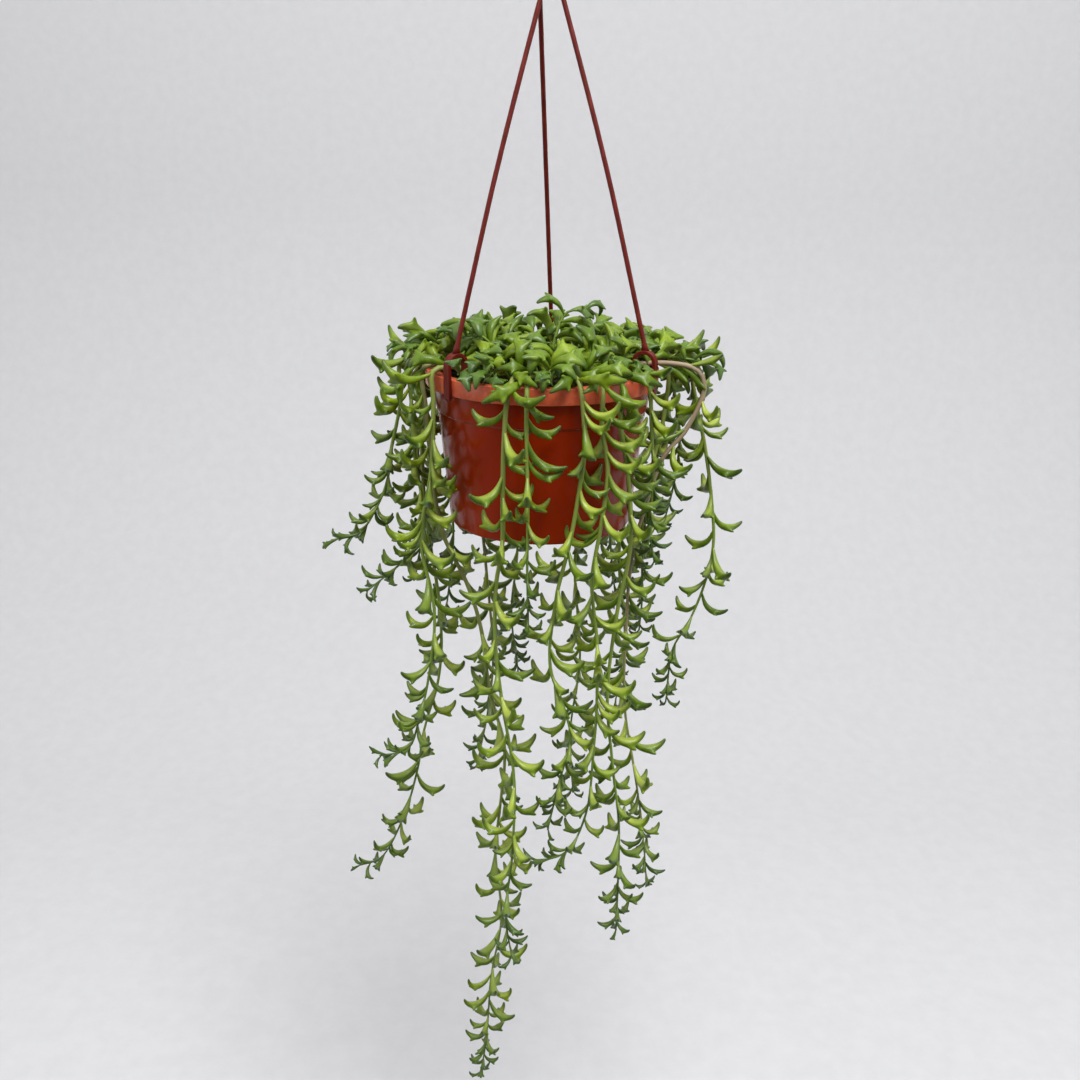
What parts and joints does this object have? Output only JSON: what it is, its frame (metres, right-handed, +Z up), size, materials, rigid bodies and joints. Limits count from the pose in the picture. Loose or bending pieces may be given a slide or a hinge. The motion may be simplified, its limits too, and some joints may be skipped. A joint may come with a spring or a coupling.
{
  "type": "potted string of dolphins",
  "caption": "Hanging plastic pot on a three-rod hanger with a hook, filled with soil and string of dolphins whose crown covers the rim and whose leafy strands trail far below.",
  "frame": {"origin": "saddle of the hanger's hook, the lowest point inside its bend, which bears on the ceiling hook or rail", "axes": "+Z up, away from the pot and against gravity; -Y towards the viewer, where the short front strands hang; +X to the viewer's right"},
  "size_m": [0.2651, 0.1881, 0.7793],
  "materials": {
    "pot_plastic": "injection-moulded polypropylene, terracotta red, glossy",
    "hanger_plastic": "moulded polypropylene, dark terracotta red, satin",
    "potting_soil": "dark crumbly peat soil, rough",
    "trailing_growth": "smooth waxy succulent leaves on olive stems, satin",
    "crown_growth": "smooth waxy succulent leaves, light yellow-green, satin"
  },
  "bodies": {
    "root": {"crown_shoot_01": "crown_growth", "crown_shoot_02": "crown_growth", "crown_shoot_03": "crown_growth", "crown_shoot_04": "crown_growth", "crown_shoot_05": "crown_growth", "crown_shoot_06": "crown_growth", "crown_shoot_07": "crown_growth", "crown_shoot_08": "crown_growth", "crown_shoot_09": "crown_growth", "crown_shoot_10": "crown_growth", "crown_shoot_11": "crown_growth", "crown_shoot_12": "crown_growth", "crown_shoot_13": "crown_growth", "crown_shoot_14": "crown_growth", "crown_shoot_15": "crown_growth", "crown_shoot_16": "crown_growth", "crown_shoot_17": "crown_growth", "crown_shoot_18": "crown_growth", "crown_shoot_19": "crown_growth", "crown_shoot_20": "crown_growth", "crown_shoot_21": "crown_growth", "crown_shoot_22": "crown_growth", "crown_shoot_23": "crown_growth", "crown_shoot_24": "crown_growth", "crown_shoot_25": "crown_growth", "crown_shoot_26": "crown_growth", "crown_shoot_27": "crown_growth", "crown_shoot_28": "crown_growth", "crown_shoot_29": "crown_growth", "hanger_hook": "hanger_plastic", "hanger_rod_left": "hanger_plastic", "hanger_rod_rear": "hanger_plastic", "hanger_rod_right": "hanger_plastic", "pot": "pot_plastic", "rim_clip_left": "hanger_plastic", "rim_clip_rear": "hanger_plastic", "rim_clip_right": "hanger_plastic", "soil": "potting_soil", "strand_front_curled": "trailing_growth", "strand_front_long": "trailing_growth", "strand_front_right": "trailing_growth", "strand_front_short": "trailing_growth", "strand_left_front": "trailing_growth", "strand_left_long": "trailing_growth", "strand_left_rear": "trailing_growth", "strand_left_short": "trailing_growth", "strand_left_upturned": "trailing_growth", "strand_longest": "trailing_growth", "strand_rear_left": "trailing_growth", "strand_rear_left_long": "trailing_growth", "strand_rear_left_short": "trailing_growth", "strand_rear_middle": "trailing_growth", "strand_rear_right": "trailing_growth", "strand_rear_right_short": "trailing_growth", "strand_right_crossing": "trailing_growth", "strand_right_leafy": "trailing_growth", "strand_right_middle": "trailing_growth", "strand_right_outer": "trailing_growth", "strand_right_straight": "trailing_growth", "strand_right_tuft": "trailing_growth"}
  },
  "joints": []
}
